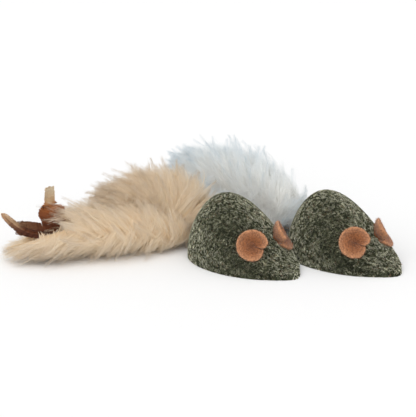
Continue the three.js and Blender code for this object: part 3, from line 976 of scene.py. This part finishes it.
def make_ear(prefix, side, place, rng):
    name = f"{prefix}_{'left' if side > 0 else 'right'}_ear"
    points, faces, shares = ear_mesh(SEEDS[prefix] + side, rng)
    root = ear_root()
    points, faces = join((points, faces), root)
    # The root takes its place on the felt's painted shade
    shares = np.concatenate([shares, np.full(len(root[0]), EAR_ROOT_SHADE_SHARE)])
    axes, centre = ear_frame()
    points = points @ axes + centre
    if side > 0:
        points = points * MIRRORED
        faces = [face[::-1] for face in faces]
    piece = add_piece(f"{name}_felt", points + place, faces, MATERIALS["felt"], prefix, [name])
    add_attribute(piece, "rim_share", shares)


# Spines, in the tail's own frame: +X straight out of the body, +Z up, origin in the binding

class Spine:
    """A path that is read by shares of its length, and runs straight on past its end."""

    def __init__(self, points):
        self.points = points
        steps = np.linalg.norm(np.diff(points, axis=0), axis=1)
        self.reached = np.concatenate([[0], np.cumsum(steps)])
        self.length = self.reached[-1]
        self.headings = unit(np.gradient(points, self.reached, axis=0))

    def read(self, values, distance):
        return np.stack([np.interp(distance, self.reached, values[:, k]) for k in range(3)], axis=-1)

    def at(self, share):
        """Centre, heading, and the ways to the left and up there."""
        distance = share * self.length
        inside = np.clip(distance, 0, self.length)
        heading = unit(self.read(self.headings, inside))
        centre = self.read(self.points, inside) + heading * (distance - inside)[..., None]
        upright = np.where(np.abs(heading[..., 2:]) > STEEP, ACROSS, UP)
        left = unit(np.cross(upright, heading))
        return centre, heading, left, np.cross(heading, left)


def bezier(*controls):
    t = np.linspace(0, 1, SPINE_STEPS)[:, None]
    a, b, c, d = (np.asarray(point, dtype=float) for point in controls)
    points = a * (1 - t) ** 3 + 3 * b * t * (1 - t) ** 2 + 3 * c * t ** 2 * (1 - t) + d * t ** 3
    return Spine(points)


def through(points):
    """A smooth path through points, with the knots spread by the root of their distance."""
    points = np.asarray(points, dtype=float)
    before = 2 * points[0] - points[1]
    after = 2 * points[-1] - points[-2]
    knots = np.vstack([before, points, after])
    path = []
    steps = np.linspace(0, 1, SPINE_PIECE_STEPS)[:, None]
    square = steps ** 2
    cube = steps ** 3
    for p0, p1, p2, p3 in zip(knots, knots[1:], knots[2:], knots[3:]):
        d0, d1, d2 = (np.linalg.norm(b - a) ** 0.5 for a, b in ((p0, p1), (p1, p2), (p2, p3)))
        m1 = ((p1 - p0) / d0 - (p2 - p0) / (d0 + d1) + (p2 - p1) / d1) * d1
        m2 = ((p2 - p1) / d1 - (p3 - p1) / (d1 + d2) + (p3 - p2) / d2) * d1
        piece = p1 * (2 * cube - 3 * square + 1) + m1 * (cube - 2 * square + steps)
        path.append((piece + p2 * (3 * square - 2 * cube) + m2 * (cube - square))[:-1])
    return Spine(np.vstack([*path, points[-1:]]))


def quill_start(slot):
    angle = math.pi / 2 + 2 * math.pi * slot / QUILL_SLOTS
    radius = QUILL_CIRCLE_DIAMETER / 2
    return np.array([QUILL_OUT, radius * math.cos(angle), radius * math.sin(angle)])


def heading(turn, length, rise):
    angle = math.radians(turn)
    return np.array([length * math.cos(angle), length * math.sin(angle), rise])


def main_spine(plume):
    start = quill_start(MAIN_PLUME_SLOT)
    tip = heading(plume["turn"], plume["length"], -MAIN_TIP_DROP)
    turn_out = tip - heading(plume["end_turn"], MAIN_TURN_OUT, -MAIN_TIP_DROP - plume["rise"])
    turn_in = start + heading(plume["start_turn"], MAIN_TURN_IN, plume["rise"])
    return bezier(start, turn_in, turn_out, tip)


def upper_spine(plume):
    start = quill_start(UPPER_PLUME_SLOT)
    tip = heading(plume["turn"], plume["length"], UPPER_TIP_RISE)
    turn_out = tip - heading(plume["turn"], UPPER_TURN_OUT, UPPER_TIP_RISE - UPPER_CROWN)
    return bezier(start, start + heading(0, UPPER_TURN_IN, UPPER_RISE), turn_out, tip)


def hackle_spine(main, hackle, curl):
    points = [quill_start(hackle["slot"])]
    for share in HACKLE_STEM_SHARES:
        centre, ahead, left, _ = main.at(np.array(hackle["leave"] * share))
        points.append(centre - left * hackle["stem_aside"] * share + UP * hackle["stem_rise"] * share)
    bend = points[-1] + ahead * hackle["bend_ahead"] + UP * hackle["bend_rise"] * curl
    tip = points[-1] + ahead * hackle["tip_ahead"] + UP * hackle["tip_rise"] * curl
    return through([*points, bend, tip])


# Plumes

def barb_paths(spine, plume, share, start, turn, reach, sweep, flare):
    """Barbs that run round the plume from a line along its side and then stand off it, and the ways out."""
    t = BARB_STEPS[None]
    swept = BARB_EVEN_SWEEP * t + (1 - BARB_EVEN_SWEEP) * t ** 2
    centre, _, left, rise = spine.at(share[:, None] + sweep[:, None] * swept / spine.length)
    widest = np.clip(share + 0.5 * sweep / spine.length, *BARB_SIZE_SHARES)
    size = (BARB_REACH * hump(widest, plume["powers"]) * reach)[:, None]
    size = size * mix(BARB_ROOT_RADIUS, 1 + flare[:, None], t ** BARB_FLARE_POWER)
    angle = start[:, None] + turn[:, None] * t ** BARB_TURN_POWER
    to_left = left * (plume["width"] / 2 * size * np.cos(angle))[..., None]
    upwards = rise * (plume["height"] / 2 * size * np.sin(angle))[..., None]
    out = left * np.cos(angle)[..., None] + rise * np.sin(angle)[..., None]
    return centre + to_left + upwards, out


def draw_clumps(spine, plume, rng):
    """How each clump of barbs grows and runs, and which clumps are tufts that stand off the plume."""
    clumps = plume["clumps"]
    share = mix(BARB_START, BARB_END, rng.random(clumps) ** BARB_CROWDING)
    at_root = rng.random(clumps) < ROOT_TUFTS
    share = np.where(at_root, BARB_START * rng.uniform(*ROOT_TUFT_START, clumps), share)
    on_left = rng.random(clumps) < LEFT_SHARE
    upward = (rng.random(clumps) < plume["upward"]) & (share < plume["crest"])
    start = np.where(on_left, 0, math.pi) + np.radians(rng.normal(0, BARB_START_SPREAD, clumps))
    turn = np.radians(rng.uniform(*BARB_TURN, clumps)) * np.where(on_left == upward, 1, -1)
    reach = rng.uniform(*CLUMP_REACH, clumps)
    sweep = mix(*plume["sweep"], share) + rng.normal(0, BARB_SWEEP_SPREAD, clumps)
    sweep = np.where(at_root, rng.uniform(*plume["root_sweep"], clumps), sweep)
    sweep = np.minimum(sweep, (rng.uniform(*BARB_LAST, clumps) - share) * spine.length)
    tufted = rng.random(clumps) < TUFT_SHARE * (1 + TUFT_GAIN * share)
    flare = np.where(tufted, rng.uniform(*TUFT_FLARE, clumps), BARB_FLARE * rng.random(clumps))
    runs = {"share": share, "start": start, "turn": turn, "reach": reach, "sweep": sweep, "flare": flare}
    return runs, tufted


def draw_strands(clumps, strands, rng):
    """The same values for each strand, spread a little about those of its clump."""
    repeated = {key: np.repeat(values, strands) for key, values in clumps.items()}
    count = len(repeated["share"])

    def spread(key, amount):
        return repeated[key] + rng.normal(0, amount, count)

    return {
        "share": np.clip(spread("share", CLUMP_SHARE_SPREAD), BARB_START / 2, 1),
        "start": spread("start", math.radians(CLUMP_ANGLE_SPREAD)),
        "reach": repeated["reach"] * rng.uniform(*STRAND_REACH, count),
        "turn": spread("turn", STRAND_TURN_SPREAD),
        "sweep": spread("sweep", STRAND_SWEEP_SPREAD),
        "flare": spread("flare", STRAND_FLARE_SPREAD),
    }


def plume_strands(spine, plume, rng):
    """Paths of all the barbs of a plume: clumps whose strands draw together towards their tips."""
    strands = plume["strands"]
    clumps, tufted = draw_clumps(spine, plume, rng)
    guide, _ = barb_paths(spine, plume, **clumps)
    own, facing = barb_paths(spine, plume, **draw_strands(clumps, strands, rng))
    count = len(own)
    t = BARB_STEPS[None, :, None]
    hold = np.repeat(np.where(tufted, TUFT_HOLD, CLUMP_HOLD), strands)[:, None, None]
    paths = mix(own, np.repeat(guide, strands, axis=0), hold * t ** 2)
    drift = np.repeat(rng.normal(0, CLUMP_DRIFT, (len(guide), 1, 3)), strands, axis=0)
    drift = drift + rng.normal(0, STRAND_DRIFT, (count, 1, 3))
    swing = rng.normal(0, STRAND_SWING, (count, 1, 3))
    paths = paths + drift * t ** 2 + swing * np.sin(2 * math.pi * t) * t
    roll = np.radians(rng.normal(0, BARB_ROLL, (count, 1, 1)))
    along = unit(np.gradient(paths, axis=1))
    facing = facing * np.cos(roll) + np.cross(along, facing) * np.sin(roll)
    return paths, facing, np.repeat(tufted, strands)


def down_mesh(spine, plume):
    """The close down under the barbs: a smooth body round the spine."""
    share = np.linspace(DOWN_START, DOWN_END, DOWN_RINGS)
    size = DOWN_SIZE * hump(share, plume["powers"])[:, None, None]
    centre, _, left, rise = spine.at(share)
    angle = circle(DOWN_SIDES)[None, :, None]
    to_left = left[:, None] * plume["width"] / 2 * np.cos(angle)
    upwards = rise[:, None] * plume["height"] / 2 * np.sin(angle)
    points = (centre[:, None] + size * (to_left + upwards)).reshape(-1, 3)
    faces = capped_faces(DOWN_RINGS, DOWN_SIDES, closed=True)
    around = np.abs(np.linspace(-0.5, 0.5, DOWN_SIDES))[None] + 0 * share[:, None]
    along = DOWN_TONE_REACH * share[:, None] + 0 * around
    return points, faces, np.stack([around, along], axis=-1).reshape(-1, 2)


def to_mouse(points, pivot):
    """From the tail's own frame to the mouse's."""
    return pivot + points * TURNED_BACK


def settle(paths, facing, rng):
    """Barbs that would go under the floor splay out and lie on it, piled a little."""
    pile = FLOOR_GAP + FLOOR_PILE * rng.random((len(paths), 1)) ** FLOOR_PILE_POWER
    low = paths[..., 2] < pile
    settled = paths.copy()
    away = unit(facing[:, :1, :2])
    settled[..., :2] += FLOOR_SPLAY * np.maximum(pile - paths[..., 2], 0)[..., None] * away
    settled[..., 2] = np.where(low, pile + FLOOR_PRESS * (paths[..., 2] - pile), paths[..., 2])
    settled[..., 2] = np.maximum(settled[..., 2], FLOOR_GAP)
    return settled


def clear_bodies(paths, places, own):
    """Barbs pushed out of both bodies."""
    moved = paths
    for place in places.values():
        moved = body_push(moved + own - place, BODY_GAP) + place - own
    return moved


def plume_mesh(spine, plume, pivot, places, own, rng):
    """Barbs that keep clear of both bodies and the floor, over close down, in the mouse's own frame."""
    paths, facing, tufted = plume_strands(spine, plume, rng)
    facing = facing * TURNED_BACK
    paths = settle(clear_bodies(to_mouse(paths, pivot), places, own), facing, rng)
    widths = mix(BARB_ROOT_WIDTH, BARB_TIP_WIDTH, BARB_STEPS[None] ** BARB_TAPER_POWER)
    widths = widths * rng.uniform(*BARB_WIDTH_SPREAD, (len(paths), 1))
    first_tuft = BARB_COLUMNS - TUFT_COLUMNS
    columns = rng.integers(0, first_tuft, len(paths))
    columns = np.where(tufted, first_tuft + columns % TUFT_COLUMNS, columns) / BARB_COLUMNS
    points, faces, uv = ribbons(paths, facing, widths, columns)
    down, down_faces, down_uv = down_mesh(spine, plume)
    down = to_mouse(down, pivot)
    down[:, 2] = np.maximum(down[:, 2], FLOOR_GAP)
    points, faces = join((points, faces.tolist()), (down, down_faces))
    return points, faces, np.concatenate([uv, down_uv])


def make_quill(node, spine, shares, pivot, place, material, tail):
    """A quill that thins along its spine."""
    radii = QUILL_DIAMETER / 2 * (1 - QUILL_TAPER * shares)
    points, faces = tube(spine, shares, radii, THIN_SIDES)
    points = to_mouse(points, pivot) + place
    add_piece(f"{node}_quill", points, faces, MATERIALS[material], tail)


def make_plume(prefix, kind, spine, pivot, places, rng):
    plume = TAILS[prefix][kind]
    feather = TAILS[prefix]["feather"]
    tail = f"{prefix}_tail"
    place = places[prefix]
    name = f"{prefix}_{kind}_plume"
    points, faces, uv = plume_mesh(spine, plume, pivot, places, place, rng)
    barbs = add_piece(
        f"{name}_barbs", points + place, faces, MATERIALS[feather], None, [name], uv=uv)
    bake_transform(barbs)
    shares = np.linspace(0, PLUME_QUILL_END, PLUME_QUILL_RINGS)
    make_quill(name, spine, shares, pivot, place, "quill", tail)


# Hackles

def vane_barbs(spine, hackle, side, rng):
    """The barbs on one side of a hackle, drawn together in ragged groups."""
    t = BARB_STEPS[None]
    vane = np.sort(rng.uniform(VANE_START, 1, VANE_BARBS))
    half = hackle["width"] / 2 * hump(np.clip(vane, *VANE_SIZE_SHARES), hackle["powers"])
    narrowed = np.clip((vane - hackle["tip_from"]) / VANE_TIP_STEP, 0, 1)
    half = half * mix(1, hackle["tip_width"], narrowed) * rng.uniform(*VANE_SIZE_SPREAD, VANE_BARBS)
    run = half / math.tan(math.radians(VANE_BARB_ANGLE)) / spine.length
    shift = VANE_SPLIT_SHIFT * side
    group = np.floor(vane * VANE_SPLITS + shift + rng.normal(0, VANE_SPLIT_SPREAD, VANE_BARBS))
    middle = (group + 0.5 - shift) / VANE_SPLITS
    pulls = hackle["split_pull"] * rng.random(VANE_SPLITS + VANE_SPARE_SPLITS)
    pull = pulls[group.astype(int) + 1]
    leave = hackle["leave"]
    start = mix(leave, 1, vane)
    end = mix(start, mix(leave, 1, middle), pull) + run
    end = np.minimum(end, rng.uniform(*VANE_LAST, VANE_BARBS))
    centre, _, left, rise = spine.at(mix(start[:, None], end[:, None], t ** VANE_RUN_POWER))
    out = (half[:, None] * t ** VANE_OUT_POWER)[..., None]
    cup = (VANE_CUP * (half[:, None] * t / hackle["width"] * 2) ** 2)[..., None]
    lift = rng.normal(0, VANE_LIFT_SPREAD, (VANE_BARBS, 1, 1)) * (t ** 2)[..., None]
    paths = centre + rise * side * out + left * (cup + lift)
    facing = left + VANE_FACING_SPREAD * rng.normal(size=(VANE_BARBS, 1, 3))
    column = VANE_SIDE * vane + (0 if side > 0 else VANE_BELOW)
    return paths, facing, column


def make_hackle(prefix, name, spine, pivot, place, rng):
    hackle = HACKLES[name]
    tail = f"{prefix}_tail"
    lots = [vane_barbs(spine, hackle, side, rng) for side in (1, -1)]
    paths, facing, columns = (np.concatenate(lot) for lot in zip(*lots))
    facing = facing * TURNED_BACK
    paths = settle(to_mouse(paths, pivot), facing, rng)
    widths = VANE_BARB_WIDTH * (1 - VANE_BARB_TAPER * BARB_STEPS[None]) + np.zeros(paths.shape[:2])
    points, faces, uv = ribbons(paths, facing, widths, columns)
    node = f"{prefix}_{name}"
    add_piece(f"{node}_vane", points + place, faces, MATERIALS[name], tail, [node], uv=uv)
    shares = np.linspace(0, VANE_QUILL_END, VANE_QUILL_RINGS)
    make_quill(node, spine, shares, pivot, place, "brown_quill", tail)


# Tail root

def make_plug(prefix, place, pivot):
    """A bead of glue that fills the hole and domes a little out of it."""
    start = pivot + np.array([QUILL_OUT + PLUG_DOME + PLUG_DEPTH, 0, 0])
    turn = np.linspace(0, math.pi / 2, PLUG_DOME_RINGS)[1:]
    reach = np.concatenate([np.linspace(0, PLUG_DEPTH, PLUG_RINGS), PLUG_DEPTH + PLUG_DOME * np.sin(turn)])
    dome = np.maximum(PLUG_RADIUS * np.cos(turn), LEAST_RADIUS)
    radius = np.concatenate([np.full(PLUG_RINGS, PLUG_RADIUS), dome])
    angle = circle(PLUG_SIDES)[None]
    wave = 1 + sum(depth * np.sin(count * angle + shift) for depth, count, shift in PLUG_WAVES)
    y = radius[:, None] * wave * np.cos(angle)
    z = radius[:, None] * wave * np.sin(angle)
    points = start + np.stack([-reach[:, None] + 0 * y, y, z], axis=-1)
    faces = [face[::-1] for face in capped_faces(len(reach), PLUG_SIDES, closed=True)]
    node = f"{prefix}_tail_plug"
    points = points.reshape(-1, 3) + place
    add_piece(f"{node}_glue", points, faces, MATERIALS["glue"], prefix, [node])


def make_binding(prefix, place, pivot):
    """One thread wound in close turns over a ball."""
    radius = (BINDING_DIAMETER - THREAD_DIAMETER) / 2
    t = np.linspace(*THREAD_ENDS, THREAD_STEPS * BINDING_TURNS)
    turn = 2 * math.pi * BINDING_TURNS * t
    lie = math.pi * (t - 0.5)
    around = radius * np.cos(lie)
    path = np.stack([radius * np.sin(lie), around * np.cos(turn), around * np.sin(turn)], axis=-1)
    radii = np.full(len(t), THREAD_DIAMETER / 2)
    thread = tube(Spine(path), np.linspace(0, 1, len(t)), radii, THIN_SIDES)
    shares = np.linspace(0, 1, BALL_RINGS)
    bend = math.pi * (shares - 0.5)
    middle = Spine(np.stack([radius * np.sin(bend), 0 * bend, 0 * bend], axis=-1))
    radii = np.maximum(radius * np.cos(bend), LEAST_RADIUS)
    ball = tube(middle, (np.sin(bend) + 1) / 2, radii, ROUND_SIDES)
    points, faces = join(thread, ball)
    node = f"{prefix}_tail_binding"
    points = to_mouse(points, pivot) + place
    add_piece(f"{node}_thread", points, faces, MATERIALS["thread"], f"{prefix}_tail_root", [node])


# Assembly

def box_middle(box):
    low, high = (np.array(corner) / MM for corner in box)
    return (low + high) / 2


def mouse_place(prefix):
    """The middle of a mouse's base."""
    return box_middle(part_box(f"{prefix}_body")) * ON_FLOOR


def tail_pivot(prefix, place):
    """The middle of the thread binding, in the mouse's own frame."""
    return box_middle(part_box(f"{prefix}_tail_binding")) - place


def make_mouse(prefix, places):
    rng = np.random.default_rng(SEEDS[prefix])
    place = places[prefix]
    pivot = tail_pivot(prefix, place)
    tail = TAILS[prefix]
    make_body(prefix, place, rng)
    for side in (1, -1):
        make_ear(prefix, side, place, rng)
    make_plug(prefix, place, pivot)
    make_binding(prefix, place, pivot)
    main = main_spine(tail["main"])
    make_plume(prefix, "main", main, pivot, places, rng)
    make_plume(prefix, "upper", upper_spine(tail["upper"]), pivot, places, rng)
    for name, hackle in HACKLES.items():
        spine = hackle_spine(main, hackle, tail["hackle_curl"])
        make_hackle(prefix, name, spine, pivot, place, rng)


make_camera()
make_sky()
make_lamp()
make_floor()
mouse_places = {prefix: mouse_place(prefix) for prefix in TAILS}
for mouse_prefix in TAILS:
    make_mouse(mouse_prefix, mouse_places)
